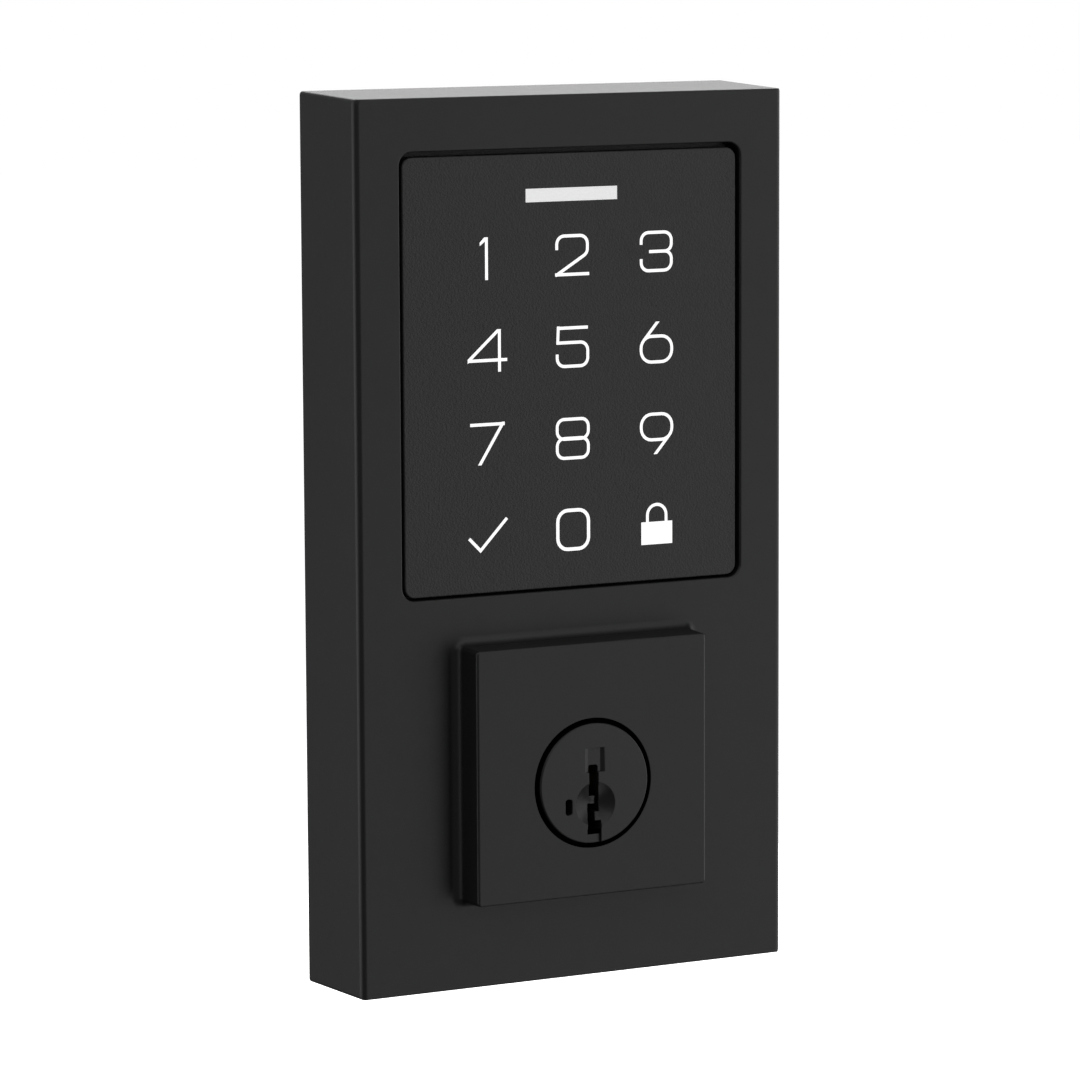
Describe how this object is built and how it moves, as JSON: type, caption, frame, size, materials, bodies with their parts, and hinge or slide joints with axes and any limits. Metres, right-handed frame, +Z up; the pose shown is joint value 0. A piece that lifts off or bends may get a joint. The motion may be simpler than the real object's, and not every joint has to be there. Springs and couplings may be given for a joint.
{
  "type": "keypad smart lock",
  "caption": "Slim rectangular exterior unit of a keypad deadbolt, with a recessed touch panel, a raised square boss around a keyed cylinder, and a torque blade at the back.",
  "frame": {"origin": "where the axis of the key cylinder meets the door's face, the rear face of the gasket", "axes": "+Z up along the cover, -Y out of the door towards the user, +X to the user's right"},
  "size_m": [0.0702, 0.0844, 0.1313],
  "materials": {
    "black_coat": "satin black powder coat on cast zinc",
    "plug_coat": "satin black coat on the plug",
    "panel_plastic": "black polycarbonate, fine leather grain",
    "inner_plastic": "moulded black",
    "legend_white": "backlit white",
    "window_white": "translucent white, diffusing",
    "film": "translucent film",
    "board": "solder mask",
    "led": "clear resin",
    "chip": "moulded black",
    "connector_plastic": "ivory nylon",
    "rubber": "closed-cell rubber",
    "zinc": "bare cast zinc",
    "zinc_plate": "zinc-plated steel",
    "steel": "plated steel",
    "spring_steel": "spring wire",
    "brass": "turned brass"
  },
  "bodies": {
    "exterior_housing": {"front_cover": "black_coat", "back_plate": "zinc_plate", "door_gasket": "rubber", "back_plate_screws": "steel", "mounting_posts": "zinc", "cable_grommet": "rubber", "keypad_panel": "panel_plastic", "panel_seal": "rubber", "digit_legends": "legend_white", "symbol_legends": "legend_white", "status_window": "window_white", "diffuser_film": "film", "light_baffle": "inner_plastic", "touch_board": "board", "key_leds": "led", "status_leds": "led", "touch_controller": "chip", "board_connector": "connector_plastic", "board_cover": "inner_plastic", "board_screws": "steel", "cylinder_housing": "zinc", "cylinder_screws": "steel", "anti_drill_pins": "steel"},
    "plug": {"plug": "plug_coat", "plug_retainer": "steel", "driver_cap": "zinc_plate", "spring_cover": "brass", "rack_carriage": "brass", "sidebar": "brass", "pin_spring_1": "spring_steel", "pin_spring_2": "spring_steel", "pin_spring_3": "spring_steel", "pin_spring_4": "spring_steel", "pin_spring_5": "spring_steel"},
    "torque_blade": {"torque_blade": "zinc_plate"},
    "tumbler_1": {"key_pin_1": "brass", "rack_1": "steel"},
    "tumbler_2": {"key_pin_2": "brass", "rack_2": "steel"},
    "tumbler_3": {"key_pin_3": "brass", "rack_3": "steel"},
    "tumbler_4": {"key_pin_4": "brass", "rack_4": "steel"},
    "tumbler_5": {"key_pin_5": "brass", "rack_5": "steel"}
  },
  "joints": [
    {"name": "plug_turn", "type": "hinge", "parent": "exterior_housing", "child": "plug", "pos_m": [0, 0, 0], "axis": [0, 1, 0], "range_deg": [-90, 90]},
    {"name": "blade_turn", "type": "hinge", "parent": "plug", "child": "torque_blade", "pos_m": [0, 0, 0], "axis": [0, 1, 0], "range_deg": [0, 90]},
    {"name": "key_pin_1_lift", "type": "slide", "parent": "plug", "child": "tumbler_1", "axis": [0, 0, 1], "range_m": [0, 0.0023], "stiffness_N_per_m": 60, "springref_m": -0.002, "deforming": ["pin_spring_1"]},
    {"name": "key_pin_2_lift", "type": "slide", "parent": "plug", "child": "tumbler_2", "axis": [0, 0, 1], "range_m": [0, 0.0023], "stiffness_N_per_m": 60, "springref_m": -0.002, "deforming": ["pin_spring_2"]},
    {"name": "key_pin_3_lift", "type": "slide", "parent": "plug", "child": "tumbler_3", "axis": [0, 0, 1], "range_m": [0, 0.0023], "stiffness_N_per_m": 60, "springref_m": -0.002, "deforming": ["pin_spring_3"]},
    {"name": "key_pin_4_lift", "type": "slide", "parent": "plug", "child": "tumbler_4", "axis": [0, 0, 1], "range_m": [0, 0.0023], "stiffness_N_per_m": 60, "springref_m": -0.002, "deforming": ["pin_spring_4"]},
    {"name": "key_pin_5_lift", "type": "slide", "parent": "plug", "child": "tumbler_5", "axis": [0, 0, 1], "range_m": [0, 0.0023], "stiffness_N_per_m": 60, "springref_m": -0.002, "deforming": ["pin_spring_5"]}
  ]
}
